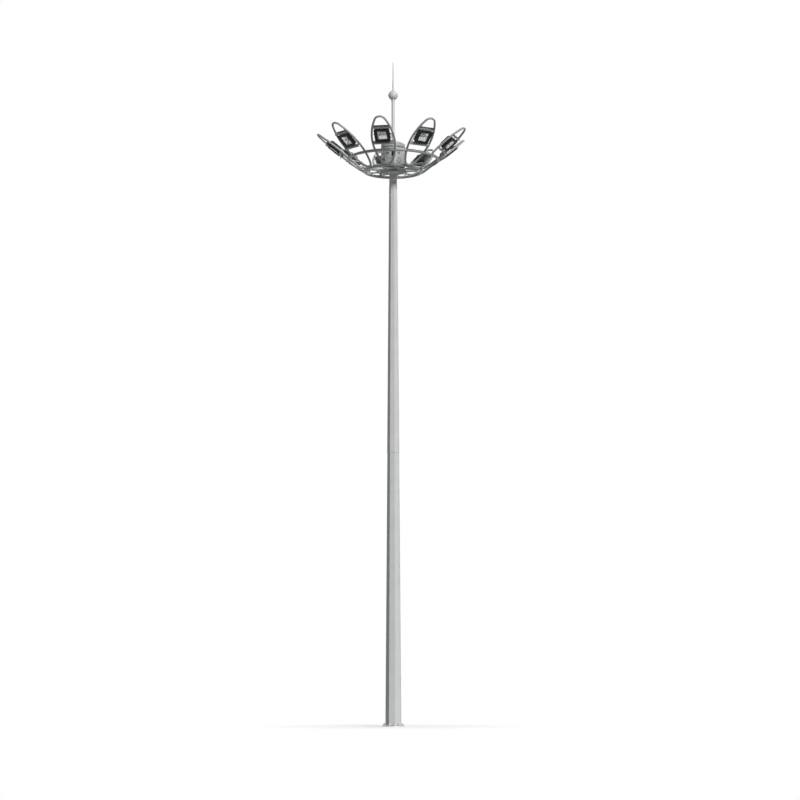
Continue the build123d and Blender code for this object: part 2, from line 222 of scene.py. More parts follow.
SLIGHT_GREEN = (0.97, 1.0, 0.98)
MAT = {
    "mast_paint": painted("mast_paint", grey(0.60, SLIGHT_GREEN), grey(0.47, SLIGHT_GREEN),
                          run=0.22, gloss=0.2),
    "flange_steel": galvanised("flange_steel", grey(0.55), grey(0.36)),
    "crown_tube": painted("crown_tube", grey(0.34, (0.94, 1.0, 0.97)), grey(0.24),
                          rough=0.36, run=0.3),
    "crown_steel": painted("crown_steel", grey(0.42, (1.0, 1.0, 0.94)), grey(0.30), rough=0.45),
    "hub_paint": painted("hub_paint", grey(0.42, SLIGHT_GREEN), grey(0.30, SLIGHT_GREEN),
                         rough=0.38, run=0.3),
    "stirrup": galvanised("stirrup", grey(0.62), grey(0.42)),
    "floodlight_frame": cast("floodlight_frame", grey(0.008, (0.85, 1.1, 1.0)), grey(0.02),
                             rough=0.42, gloss=0.15),
    "floodlight_housing": cast("floodlight_housing", grey(0.020, (0.9, 1.05, 1.0)), grey(0.05),
                               gloss=0.2),
    "glass": clear_glass("glass"),
    "rod_steel": galvanised("rod_steel", grey(0.62, SLIGHT_GREEN), grey(0.50),
                            rough=0.5, metal=0.1),
}
BOLT = galvanised("bolt_zinc", grey(0.60), grey(0.40), rough=0.32, metal=0.9)
WELD = plain("weld_bead", grey(0.34), 0.5, metal=0.7, spread=0.4, grain=500.0)
BLACK_STEEL = plain("black_steel", grey(0.05), 0.45, metal=0.4)
MIRROR = reflector_metal("reflector_metal")
LAMP = plain("lamp_glass", grey(0.95), 0.12, spread=0.05)
CERAMIC = plain("lamp_ceramic", (0.85, 0.82, 0.76, 1), 0.55)
RUBBER = plain("gasket_rubber", grey(0.02), 0.7)
# Near-black sheet: painted shade in the vent openings, and the lamp's glare shade that doubles as a painted shadow
# band.
PAINTED_SHADE_SHEET = plain("painted_shade_sheet", grey(0.03), 0.7)
# Near-white zinc on the spigot's collar: a real collar, its brightness a painted highlight of sunlight on the
# pipe.
PAINTED_HIGHLIGHT_COLLAR = galvanised("collar_painted_highlight", grey(0.92), grey(0.84), rough=0.35, metal=0.1)
PANEL = painted("panel_paint", grey(0.34), grey(0.24), rough=0.33, run=0.2)
# Darker copy of the hub paint on the hub's bottom and floor plates: painted shade for their shadowed undersides.
PAINTED_SHADE_UNDERSIDE = painted("underside_painted_shade", grey(0.16, (0.92, 1.0, 0.98)), grey(0.09),
                    rough=0.5, gloss=0.25)
# Lighter copy of the crown steel's paint on the spigot: painted light that lifts it out of the crown's shadow.
PAINTED_LIGHT_SPIGOT = painted("spigot_painted_light", grey(0.62, SLIGHT_GREEN), grey(0.48, SLIGHT_GREEN), rough=0.45)
# Nodes that get a lighter or darker copy of their paint: painted shade on the hub's plates, painted light on the
# spigot.
LIT_AND_SHADED_NODES = {
    "hub_bottom_plate": PAINTED_SHADE_UNDERSIDE,
    "hub_floor_plate": PAINTED_SHADE_UNDERSIDE,
    "crown_spigot": PAINTED_LIGHT_SPIGOT,
}


# ---------------------------------------------------------------- mesh tools

def lathe(bm, profile, place=Matrix(), segments=32, phase=0.0):
    """Closed turned shape: profile is (radius, height) from bottom to top, capped where it ends."""
    rings = []
    for radius, height in profile:
        ring = []
        for i in range(segments):
            angle = 2 * math.pi * i / segments + phase
            ring.append(bm.verts.new(place @ polar(angle, height, radius)))
        rings.append(ring)
    skin(bm, rings)
    close_ends(bm, rings)


def skin(bm, rings, closed=True, joined=False):
    """Faces between neighbouring rings of vertices; joined also links the last to the first."""
    pairs = list(zip(rings, rings[1:]))
    if joined:
        pairs.append((rings[-1], rings[0]))
    for low, high in pairs:
        count = len(low)
        for i in range(count if closed else count - 1):
            j = (i + 1) % count
            bm.faces.new((low[i], low[j], high[j], high[i]))


def close_ends(bm, rings):
    """Faces over the first and the last ring."""
    bm.faces.new(list(reversed(rings[0])))
    bm.faces.new(rings[-1])


def washer_ring(bm, inner, outer, low, high, segments=48):
    """Flat ring with a hole, round the mast's axis."""
    rings = []
    for radius, height in ((inner, low), (outer, low), (outer, high), (inner, high)):
        rings.append([
            bm.verts.new(polar(2 * math.pi * i / segments, height, radius))
            for i in range(segments)
        ])
    skin(bm, rings, joined=True)


def prism(bm, outline, low, high, place=Matrix(), inset=0.0):
    """Straight-sided block from an outline of (x, y), its top drawn in by inset for a soft edge."""
    rings = []
    middle = Vector((sum(p[0] for p in outline), sum(p[1] for p in outline))) / len(outline)
    levels = [(low, 0.0), (high, 0.0)]
    if inset:
        levels = [(low, 0.0), (high - inset, 0.0), (high, inset)]
    for height, draw in levels:
        ring = []
        for x, y in outline:
            away = Vector((x, y)) - middle
            point = Vector((x, y)) - away.normalized() * draw
            ring.append(bm.verts.new(place @ Vector((point.x, point.y, height))))
        rings.append(ring)
    skin(bm, rings)
    close_ends(bm, rings)


def rounded_outline(width, length, corner, steps=4):
    """Outline of a rectangle with rounded corners, anticlockwise."""
    points = []
    for quarter in range(4):
        sign_x = 1 if quarter in (0, 3) else -1
        sign_y = 1 if quarter in (0, 1) else -1
        for i in range(steps + 1):
            angle = (quarter + i / steps) * math.pi / 2
            points.append((
                sign_x * (width / 2 - corner) + corner * math.cos(angle),
                sign_y * (length / 2 - corner) + corner * math.sin(angle),
            ))
    return points


def box(bm, low, high, place=Matrix(), soft=0.0):
    """Block between two corners, with a soft top edge."""
    outline = [(low[0], low[1]), (high[0], low[1]), (high[0], high[1]), (low[0], high[1])]
    prism(bm, outline, low[2], high[2], place, soft)


def tube(bm, path, radius, segments=12, closed=False):
    """Round tube along a list of points."""
    rings = []
    count = len(path)
    side = None
    for i, point in enumerate(path):
        if closed:
            along = path[(i + 1) % count] - path[i - 1]
        else:
            along = path[min(i + 1, count - 1)] - path[max(i - 1, 0)]
        along.normalize()
        if side is None:
            side = along.orthogonal().normalized()
        side = (side - along * side.dot(along)).normalized()
        other = along.cross(side)
        rings.append([
            bm.verts.new(
                point
                + side * radius * math.cos(2 * math.pi * k / segments)
                + other * radius * math.sin(2 * math.pi * k / segments)
            )
            for k in range(segments)
        ])
    skin(bm, rings, joined=closed)
    if not closed:
        close_ends(bm, rings)


def hex_bolt(bm, place, size, washer=True, stud=0.0):
    """Hexagon head on a washer, standing up along the place's z; stud is what shows past a nut."""
    base = 0.0
    if washer:
        lathe(bm, [(size, 0), (size * 1.02, size * 0.08), (size * 0.98, size * 0.16)], place, 24)
        base = size * 0.16
    head = size * 0.86
    height = size * 0.62
    lathe(
        bm,
        [(head, base), (head, base + height * 0.88), (head * 0.86, base + height)],
        place, 6,
    )
    if stud:
        core = size * 0.5
        top = base + height + stud
        lathe(bm, [(core, base), (core, top - core * 0.25), (core * 0.75, top)], place, 16)


def finished(bm, name, material, solid=0.0, smooth=35.0):
    """Mesh from a bmesh, shaded smooth below an angle, with a wall thickness where solid is set."""
    bmesh.ops.recalc_face_normals(bm, faces=bm.faces)
    if solid:
        bmesh.ops.solidify(bm, geom=list(bm.faces), thickness=solid)
    mesh = bpy.data.meshes.new(name)
    bm.to_mesh(mesh)
    bm.free()
    mesh.shade_smooth()
    mesh.set_sharp_from_angle(angle=math.radians(smooth))
    mesh.materials.append(material)
    return mesh


def make(name, bm, material, smooth=35.0):
    """Piece from a bmesh that rides on the tower."""
    show(name, finished(bm, name, material, smooth=smooth), ROOT)


def show(name, mesh, body, place=Matrix()):
    """Object that shows a mesh at a place and rides on a body."""
    made = bpy.data.objects.new(name, mesh)
    bpy.context.scene.collection.objects.link(made)
    made.matrix_world = place
    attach(made, body)


def turned(angle):
    """Turn round the mast's axis."""
    return Matrix.Rotation(angle, 4, "Z")


def polar(angle, height, radius):
    """Point at an angle and a radius round the z axis, at a height."""
    return Vector((radius * math.cos(angle), radius * math.sin(angle), height))


def facing(point, normal, up=UP):
    """Place at a point with z along a normal and y as near as can be to up."""
    z_axis = normal.normalized()
    x_axis = up.cross(z_axis)
    if x_axis.length < 1e-6:
        x_axis = Vector((1, 0, 0))
    x_axis.normalize()
    y_axis = z_axis.cross(x_axis)
    made = Matrix((x_axis, y_axis, z_axis)).transposed().to_4x4()
    made.translation = point
    return made


# ---------------------------------------------------------------- places read from the frame

def node_points(name):
    """Points of a CAD node's mesh."""
    return [v.co for v in frame["nodes"][name].data.vertices]


def local_box(name, place):
    """Corners of a CAD node's box in a place's own axes."""
    back = place.inverted()
    points = [back @ p for p in node_points(name)]
    low = Vector(min(p[i] for p in points) for i in range(3))
    high = Vector(max(p[i] for p in points) for i in range(3))
    return low, high


def floodlight_place(joint):
    """Axes at a floodlight's pivot: x along it, y towards the petal's tip, z the way it shines."""
    pivot = Vector(joint["pos_m"])
    low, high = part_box(joint["child"] + "_glass")
    x_axis = Vector(joint["axis"]).normalized()
    z_axis = ((low + high) / 2 - pivot).normalized()
    z_axis = (z_axis - x_axis * z_axis.dot(x_axis)).normalized()
    y_axis = z_axis.cross(x_axis)
    place = Matrix((x_axis, y_axis, z_axis)).transposed().to_4x4()
    place.translation = pivot
    return place


def ring_size(name):
    """Centre-line radius, tube radius and height of a ring node."""
    low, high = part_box(name)
    radius = (high.z - low.z) / 2
    return high.x - radius, radius, (high.z + low.z) / 2


FLOODLIGHTS = {joint["child"]: floodlight_place(joint) for joint in frame["joints"]}
LIGHT_PLACE = FLOODLIGHTS["floodlight_1"]
FRAME_LOW, FRAME_HIGH = local_box("floodlight_1_front_frame", LIGHT_PLACE)
GLASS_LOW, GLASS_HIGH = local_box("floodlight_1_glass", LIGHT_PLACE)
HOUSING_LOW, HOUSING_HIGH = local_box("floodlight_1_housing", LIGHT_PLACE)
LOWER_RING = ring_size("lower_ring")
MIDDLE_RING = ring_size("middle_ring")
DRUM_LOW, DRUM_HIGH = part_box("hub_drum")
DRUM_RADIUS = DRUM_HIGH.x
CAP_LOW, CAP_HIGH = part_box("hub_top_cap")
CORE_LOW, CORE_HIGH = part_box("hub_core")
SPIGOT_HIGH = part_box("crown_spigot")[1]
FLANGE_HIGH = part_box("base_flange")[1]
MAST_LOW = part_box("mast_lower_section")[0]
UPPER_LOW, UPPER_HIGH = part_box("mast_upper_section")
ROD_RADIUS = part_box("lightning_rod_pipe")[1].x
BALL_LOW, BALL_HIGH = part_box("lightning_rod_ball")
DOOR_LOW, DOOR_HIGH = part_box("service_door")

# Sizes that the CAD source sets and the frame doesn't say, in metres
PETAL_TUBE = 0.038
PETAL_SEAT = math.radians(15)
PIVOT_BEHIND = 0.02
STIRRUP_GAP = 0.0317
STIRRUP_ARM = 0.008
DRUM_WALL = 0.005
COVER_PROUD = 0.0063
DOOR_PROUD = 0.0053

# Sizes of the pieces added here, in metres
EARTH_LUG_HEIGHT = 0.32
SEAM_WIDTH = 0.007
SEAM_PROUD = 0.0016
WELD_STUB_WAIST = 0.026
WELD_STUB_FOOT = 0.040
WELD_BEAD = 0.007
BEAD_STEPS = 32
HALVINGS = 24
SOCKET_REACH = 0.075
SOCKET_THICK = 0.016
SEAM_TUBE = 0.003
REFLECTOR_DEPTH = 0.105
LAMP_BEHIND = 0.050
LAMP_HALF = 0.105
SHADE_RADIUS = 0.034
SHADE_HALF = 0.118
SHEET = 0.0015
GASKET_INSET = 0.0135
HINGE_SPACING = 0.15
FINS = 13
FIN_HALF = 0.0025
LID_THICK = 0.020
BOLT_SPACING = 0.11


def section_half_flats(name, height):
    """Half the size across the flats of a mast section at a height, along its straight taper."""
    low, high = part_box(name)
    top = max(p.x for p in node_points(name) if p.z > high.z - 0.01)
    share = (height - low.z) / (high.z - low.z)
    return high.x + (top - high.x) * share


# ---------------------------------------------------------------- carried-over CAD nodes

def paint_nodes():
    """The slot's material on each CAD node, or a lighter or darker copy of it where light or shade is painted on.
    """
    for part in frame["record"]["subparts"]:
        data = frame["nodes"][part["node"]].data
        data.materials.clear()
        data.materials.append(LIT_AND_SHADED_NODES.get(part["node"], MAT[part["material_slot"]]))


# ---------------------------------------------------------------- mast

def anchor_bolts():
    """Studs with two nuts and a washer on the flange's anchor circle."""
    pattern = next(m for m in frame["record"]["mounts"] if m["kind"] == "bolt_pattern")
    count = pattern["dims"]["count"]
    radius = pattern["dims"]["pcd_mm"] / 2000
    size = 0.033
    bm = bmesh.new()
    for i in range(count):
        angle = 2 * math.pi * (i + 0.5) / count
        base = polar(angle, FLANGE_HIGH.z, radius)
        place = Matrix.Translation(base) @ turned(angle)
        hex_bolt(bm, place, size)
        upper = place @ Matrix.Translation((0, 0, size * 0.8)) @ turned(0.3)
        hex_bolt(bm, upper, size, washer=False, stud=0.03)
        stem = Matrix.Translation((base.x, base.y, 0.001))
        lathe(bm, [(size / 2, 0), (size / 2, FLANGE_HIGH.z)], stem, 16)
    make("anchor_bolts", bm, BOLT)


def octagon_ring(bm, profile):
    """Ring of eight flat sides swept from a closed profile of (half size across flats, height)."""
    rings = []
    for half, height in profile:
        corner = half / math.cos(math.pi / 8)
        rings.append([
            bm.verts.new(polar(2 * math.pi * (i + 0.5) / 8, height, corner)) for i in range(8)
        ])
    skin(bm, rings, joined=True)


def mast_welds():
    """Weld beads at the flange and the slip joint's lip, and two seams up each mast section."""
    bm = bmesh.new()
    foot = section_half_flats("mast_lower_section", MAST_LOW.z)
    leg = 0.014
    octagon_ring(bm, [(foot - 0.001, MAST_LOW.z), (foot + leg, MAST_LOW.z),
                      (foot + leg * 0.45, MAST_LOW.z + leg * 0.6),
                      (foot - 0.001, MAST_LOW.z + leg)])
    lip = section_half_flats("mast_upper_section", UPPER_LOW.z)
    leg = 0.005
    octagon_ring(bm, [(lip - leg, UPPER_LOW.z - leg), (lip - 0.0005, UPPER_LOW.z - leg * 0.4),
                      (lip - 0.0005, UPPER_LOW.z), (lip - leg, UPPER_LOW.z)])
    make("mast_welds", bm, WELD, smooth=20)
    bm = bmesh.new()
    width, proud = SEAM_WIDTH, SEAM_PROUD
    for name, low, high in (
        ("mast_lower_section", MAST_LOW.z + 0.02, UPPER_LOW.z),
        ("mast_upper_section", UPPER_LOW.z, UPPER_HIGH.z),
    ):
        for side in (-1, 1):
            rings = []
            steps = 24
            for i in range(steps + 1):
                height = low + (high - low) * i / steps
                half = section_half_flats(name, height)
                rings.append([
                    bm.verts.new((side * (half + out), across, height))
                    for across, out in (
                        (-width, -0.001), (-width * 0.5, proud), (width * 0.5, proud),
                        (width, -0.001),
                    )
                ])
            skin(bm, rings)
            close_ends(bm, rings)
    make("mast_seams", bm, MAT["mast_paint"])


def door_fittings():
    """Six screws, a lock and an earthing stud beside the service door."""
    middle = (DOOR_LOW + DOOR_HIGH) / 2
    lean = math.atan2(
        section_half_flats("mast_lower_section", DOOR_LOW.z)
        - section_half_flats("mast_lower_section", DOOR_HIGH.z),
        DOOR_HIGH.z - DOOR_LOW.z,
    )
    normal = Vector((0, math.cos(lean), math.sin(lean)))
    proud = section_half_flats("mast_lower_section", middle.z) + DOOR_PROUD
    face = facing(Vector((0, proud, middle.z)), normal)
    half_x = (DOOR_HIGH.x - DOOR_LOW.x) / 2 - 0.012
    half_z = (DOOR_HIGH.z - DOOR_LOW.z) / 2 - 0.05
    bm = bmesh.new()
    for x in (-half_x, half_x):
        for y in (-half_z, 0, half_z):
            place = face @ Matrix.Translation((x, y, 0))
            lathe(bm, [(0.008, 0), (0.008, 0.002), (0.0055, 0.0045)], place, 20)
    lock = face @ Matrix.Translation((0, -half_z * 0.1, 0))
    lathe(bm, [(0.017, 0), (0.017, 0.004), (0.013, 0.007), (0.012, 0.010)], lock, 3, phase=0.5)
    lathe(bm, [(0.024, 0), (0.024, 0.0025), (0.021, 0.004)], lock, 32)
    make("door_fittings", bm, BOLT)
    bm = bmesh.new()
    half = section_half_flats("mast_lower_section", EARTH_LUG_HEIGHT)
    earth = facing(Vector((0, half, EARTH_LUG_HEIGHT)), Vector((0, 1, 0)))
    box(bm, (-0.022, -0.03, -0.002), (0.022, 0.03, 0.008), earth, 0.002)
    hex_bolt(bm, earth @ Matrix.Translation((0, 0, 0.008)), 0.013, stud=0.012)
    make("earthing_lug", bm, BOLT)


def spigot_fittings():
    """Through bolts at the mast's top, the hub's flange bolts and the collar below it, whose near-white colour is
    a painted highlight.
    """
    bm = bmesh.new()
    for drop in (0.12, 0.34):
        height = UPPER_HIGH.z - drop
        half = section_half_flats("mast_upper_section", height)
        for quarter in range(4):
            normal = turned(math.pi / 2 * quarter + math.pi / 4) @ Vector((1, 0, 0))
            hex_bolt(bm, facing(normal * half + UP * height, normal), 0.017, stud=0.008)
    flange_radius = CORE_HIGH.x * 0.84
    for i in range(8):
        angle = 2 * math.pi * (i + 0.5) / 8
        hex_bolt(bm, facing(polar(angle, CORE_LOW.z, flange_radius), -UP), 0.016, stud=0.010)
    make("crown_bolts", bm, BOLT)
    top = SPIGOT_HIGH.z
    half = section_half_flats("crown_spigot", top)
    bm = bmesh.new()
    octagon_ring(bm, [(half - 0.004, top - 0.064), (half + 0.006, top - 0.062),
                      (half + 0.007, top - 0.060), (half + 0.007, top - 0.008),
                      (half + 0.006, top - 0.006), (half - 0.004, top - 0.004)])
    # The collar's near-white colour is a painted highlight.
    make("spigot_collar", bm, PAINTED_HIGHLIGHT_COLLAR, smooth=20)


# ---------------------------------------------------------------- hub

def drum_strip(bm, radius, thick, start, end, low, high):
    """Curved plate around the mast's axis, between two angles and two heights."""
    rings = []
    steps = 18
    for i in range(steps + 1):
        angle = start + (end - start) * i / steps
        rings.append([
            bm.verts.new(polar(angle, height, r))
            for r, height in (
                (radius, low), (radius + thick, low), (radius + thick, high), (radius, high),
            )
        ])
    skin(bm, rings)
    close_ends(bm, rings)


ARCH_WIDTH = 0.180
ARCH_HEIGHT = 0.235
HUB_FRONT = math.radians(-82)
COVER_ANGLE = math.radians(34.5)
COVER_ARC = math.radians(42)
COVER_BOTTOM = 0.258
COVER_HEIGHT = 0.262


def arch_path(angle, radius, width, height, low):
    """Points up one leg of an arch, round its head and down the other, on the drum's wall."""
    half = width / 2
    steps = 14
    head = [
        (-half * math.cos(turn), height - half + half * math.sin(turn))
        for turn in (math.pi * i / steps for i in range(steps + 1))
    ]
    flat = [(-half, 0.0)] + head + [(half, 0.0)]
    return [polar(angle + x / radius, low + z, radius) for x, z in flat]


def hub_arches():
    """A rim round each arched outlet and a light hatch just inside it."""
    rims = bmesh.new()
    hatches = bmesh.new()
    hatch = (ARCH_WIDTH + 0.03, ARCH_HEIGHT + 0.012, DRUM_LOW.z + 0.001)
    for k in range(PETALS):
        angle = -math.pi / 2 + k * PETAL_STEP
        path = arch_path(angle, DRUM_RADIUS + 0.002,
                         ARCH_WIDTH + 0.008, ARCH_HEIGHT + 0.004, DRUM_LOW.z + 0.010)
        tube(rims, path, 0.010, 10)
        outline = arch_path(angle, DRUM_RADIUS - DRUM_WALL - 0.001, *hatch)
        inner = arch_path(angle, DRUM_RADIUS - DRUM_WALL - 0.005, *hatch)
        front = [hatches.verts.new(p) for p in outline]
        back = [hatches.verts.new(p) for p in inner]
        hatches.faces.new(front)
        hatches.faces.new(list(reversed(back)))
        skin(hatches, [front, back])
        centre = polar(angle, DRUM_LOW.z + ARCH_HEIGHT * 0.45, DRUM_RADIUS - DRUM_WALL - 0.001)
        place = facing(centre, Vector((centre.x, centre.y, 0)))
        lathe(hatches, [(0.034, -0.002), (0.034, 0.005), (0.026, 0.010), (0.020, 0.014)], place, 24)
    make("cable_outlet_rims", rims, MAT["crown_tube"], smooth=50)
    make("cable_outlet_hatches", hatches, PANEL)


def hub_details():
    """Vents, hinges and latches on the covers, a near-black sheet behind each vent's slats as painted shade;
    spacers in the shadow gap; bolts round the hub.
    """
    vent_painted_shade = bmesh.new()
    metal = bmesh.new()
    skin_radius = DRUM_RADIUS + COVER_PROUD
    low = DRUM_LOW.z + COVER_BOTTOM
    for turn in (0, math.pi):
        for side in (-1, 1):
            middle = HUB_FRONT + turn + side * COVER_ANGLE
            inner_edge = middle - side * COVER_ARC / 2
            outer_edge = middle + side * COVER_ARC / 2
            vent = (inner_edge + side * math.radians(4), inner_edge + side * math.radians(22))
            # Near-black strip behind the slats: painted shade in the vent opening.
            drum_strip(vent_painted_shade, skin_radius - 0.001, 0.002, min(vent), max(vent),
                       low + 0.110, low + 0.190)
            for row in range(4):
                base = low + 0.116 + row * 0.019
                drum_strip(metal, skin_radius, 0.007, min(vent), max(vent), base, base + 0.004)
            for height in (low + 0.05, low + COVER_HEIGHT - 0.05):
                centre = polar(outer_edge, height, skin_radius + 0.004)
                lathe(metal, [(0.008, -0.028), (0.009, -0.026), (0.009, 0.026), (0.008, 0.028)],
                      Matrix.Translation(centre), 16)
            latch = polar(inner_edge + side * math.radians(2), low + COVER_HEIGHT * 0.45,
                          skin_radius)
            place = facing(latch, Vector((latch.x, latch.y, 0)))
            lathe(metal, [(0.014, 0), (0.014, 0.004), (0.011, 0.006)], place, 24)
            box(metal, (-0.004, -0.018, 0.004), (0.004, 0.018, 0.012), place, 0.002)
            for edge in (inner_edge, outer_edge):
                for height in (low + 0.014, low + COVER_HEIGHT - 0.014):
                    spot = polar(edge + (middle - edge) * 0.12, height, skin_radius)
                    lathe(metal, [(0.007, -0.001), (0.007, 0.002), (0.004, 0.004)],
                          facing(spot, Vector((spot.x, spot.y, 0))), 16)
    count = 18
    aside = 0.17
    for i in range(count):
        angle = 2 * math.pi * i / count
        spacer = Matrix.Translation(polar(angle, DRUM_HIGH.z - 0.03, DRUM_RADIUS - 0.018))
        lathe(metal, [(0.009, 0), (0.009, CAP_LOW.z - DRUM_HIGH.z + 0.03)], spacer, 12)
        under = polar(angle + aside, DRUM_LOW.z - 0.012, DRUM_RADIUS - 0.03)
        hex_bolt(metal, facing(under, -UP), 0.011)
        side_spot = polar(angle + aside, CAP_LOW.z + 0.03, DRUM_RADIUS)
        lathe(metal, [(0.008, -0.001), (0.008, 0.002), (0.005, 0.005)],
              facing(side_spot, Vector((side_spot.x, side_spot.y, 0))), 16)
    make("cover_vent_painted_shade", vent_painted_shade, PAINTED_SHADE_SHEET)
    make("hub_fittings", metal, BOLT)
    bm = bmesh.new()
    washer_ring(bm, DRUM_RADIUS - 0.045, DRUM_RADIUS - 0.0055,
                DRUM_HIGH.z - 0.012, DRUM_HIGH.z - 0.004, segments=96)
    washer_ring(bm, CORE_HIGH.x + 0.0008, CORE_HIGH.x + 0.014,
                DRUM_LOW.z - 0.026, DRUM_LOW.z - 0.0125, segments=72)
    make("hub_rings", bm, MAT["crown_steel"])


def cap_details():
    """Seam band round the cap and the lightning rod's socket flange with gussets and bolts."""
    bm = bmesh.new()
    washer_ring(bm, DRUM_RADIUS - 0.003, DRUM_RADIUS + 0.004,
                CAP_LOW.z + 0.004, CAP_LOW.z + 0.014, segments=96)
    make("cap_band", bm, MAT["crown_steel"])
    bm = bmesh.new()
    pipe = ROD_RADIUS
    flange = pipe + SOCKET_REACH
    top = CAP_HIGH.z
    washer_ring(bm, pipe - 0.001, flange, top, top + SOCKET_THICK)
    for i in range(8):
        angle = 2 * math.pi * (i + 0.5) / 8
        if i % 2:
            upright = turned(angle) @ Matrix.Rotation(math.pi / 2, 4, "X")
            outline = [(pipe - 0.004, 0), (flange - 0.012, 0), (flange - 0.012, 0.012),
                       (pipe - 0.004, 0.12)]
            prism(bm, outline, -0.004, 0.004, Matrix.Translation((0, 0, top + 0.015)) @ upright)
        spot = polar(angle + math.pi / 8, top + SOCKET_THICK, flange - 0.024)
        hex_bolt(bm, Matrix.Translation(spot), 0.013, stud=0.010)
    make("rod_socket", bm, BOLT)


# ---------------------------------------------------------------- lightning rod

def rod_details():
    """Weld seams on the ball, collars at its two seats and at the needle's foot."""
    middle = (BALL_LOW.x + BALL_HIGH.x) / 2
    radius = (BALL_HIGH.x - BALL_LOW.x) / 2
    centre_height = BALL_LOW.z + math.sqrt(radius**2 - ROD_RADIUS**2)
    bm = bmesh.new()
    proud = radius + 0.0005
    seam = [
        Vector((middle + proud * math.cos(angle), proud * math.sin(angle), centre_height))
        for angle in (2 * math.pi * i / 96 for i in range(96))
    ]
    tube(bm, seam, SEAM_TUBE, 8, closed=True)
    pipe = ROD_RADIUS
    lathe_ring(bm, [(pipe - 0.001, -0.05), (pipe + 0.008, -0.048), (pipe + 0.010, -0.03),
                    (pipe + 0.010, -0.006), (pipe + 0.004, 0.004),
                    (pipe - 0.001, 0.004)], BALL_LOW.z)
    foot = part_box("lightning_rod_needle")[1].x
    lathe_ring(bm, [(foot - 0.002, -0.004), (foot + 0.024, -0.006), (foot + 0.022, 0.012),
                    (foot + 0.010, 0.026), (foot + 0.008, 0.06), (foot + 0.002, 0.066),
                    (foot - 0.003, 0.066)], BALL_HIGH.z)
    make("rod_collars", bm, MAT["rod_steel"])


def lathe_ring(bm, profile, height):
    """Turned ring round the mast's axis from a closed profile of (radius, height above)."""
    rings = []
    segments = 48
    for radius, above in profile:
        rings.append([
            bm.verts.new(polar(2 * math.pi * i / segments, height + above, radius))
            for i in range(segments)
        ])
    skin(bm, rings, joined=True)


# ---------------------------------------------------------------- crown tubes

def stub(bm, start, end, thin, wide):
    """Short flared weld stub between two tubes."""
    along = end - start
    place = facing(start, along, up=Vector((0.3, 0.2, 1)))
    length = along.length
    lathe(bm, [(wide, 0), (thin * 1.12, length * 0.30), (thin, length * 0.5),
               (thin * 1.12, length * 0.70), (wide, length)], place, 20)


def crown_welds():
    """Flared welds where the petals meet the lower ring, beads where they pass the middle ring."""
    bm = bmesh.new()
    ring_radius, ring_tube, ring_height = LOWER_RING
    reach = ring_tube + PETAL_TUBE
    beads = ring_beads()
    for k in range(PETALS):
        turn = turned(k * PETAL_STEP)
        out = turn @ Vector((0, -1, 0))
        start = out * ring_radius + UP * ring_height
        direction = out * math.cos(PETAL_SEAT) + UP * math.sin(PETAL_SEAT)
        stub(bm, start + direction * ring_tube * 0.80,
             start + direction * (reach - PETAL_TUBE * 0.80), WELD_STUB_WAIST, WELD_STUB_FOOT)
        for side in (-1, 1):
            for bead in beads:
                path = [turn @ Vector((point.x * side, point.y, point.z)) for point in bead]
                tube(bm, path, WELD_BEAD, 8, closed=True)
    make("crown_welds", bm, MAT["crown_tube"], smooth=60)


def ring_beads():
    """Closed lines where the front petal's right tube enters and leaves the middle ring."""
    radius, ring_tube, height = MIDDLE_RING
    centre, along = tube_line()
    side = along.orthogonal().normalized()
    other = along.cross(side)
    beads = []
    for way in (-1, 1):
        bead = []
        for i in range(BEAD_STEPS):
            angle = 2 * math.pi * i / BEAD_STEPS
            aside = side * math.cos(angle) + other * math.sin(angle)
            edge = centre + aside * (PETAL_TUBE + 0.002)
            inside, outside = 0.0, ring_tube * 2.5
            for _ in range(HALVINGS):
                reach = (inside + outside) / 2
                point = edge + along * way * reach
                flat = Vector((point.x, point.y, 0)).normalized() * radius + UP * height
                if (point - flat).length < ring_tube + 0.001:
                    inside = reach
                else:
                    outside = reach
            bead.append(edge + along * way * outside)
        beads.append(bead)
    return beads


def tube_line():
    """Centre and direction of the front petal's right tube where the middle ring crosses it."""
    back = LIGHT_PLACE.inverted()
    points = [back @ p for p in node_points("petal_frame_1")]
    pivot_height = LIGHT_PLACE.translation.z + PIVOT_BEHIND * LIGHT_PLACE.col[2].z
    level = (MIDDLE_RING[2] - pivot_height) / LIGHT_PLACE.col[1].z
    ends = []
    for step in (-0.05, 0.05):
        band = [p for p in points if p.x > 0.1 and abs(p.y - level - step) < 0.03]
        ends.append(LIGHT_PLACE @ (sum(band, Vector()) / len(band)))
    return (ends[0] + ends[1]) / 2, (ends[1] - ends[0]).normalized()


# ---------------------------------------------------------------- floodlights

def reflector_mesh():
    """Bright bowl behind the glass: a rounded mouth that curves in to a flat back with a trough."""
    bm = bmesh.new()
    mouth_x = GLASS_HIGH.x - 0.004
    mouth_y = GLASS_HIGH.y - 0.004
    front = GLASS_LOW.z - 0.003
    rings = []
    steps = 9
    for i in range(steps):
        share = i / (steps - 1)
        narrow = 1 - 0.52 * share ** 1.7
        short = 1 - 0.66 * share ** 1.5
        outline = rounded_outline(2 * mouth_x * narrow, 2 * mouth_y * short, 0.03, 3)
        height = front - REFLECTOR_DEPTH * share ** 0.8
        rings.append([bm.verts.new((x, y, height)) for x, y in outline])
    skin(bm, rings)
    bm.faces.new(rings[-1])
    return finished(bm, "reflector", MIRROR, solid=SHEET, smooth=50)


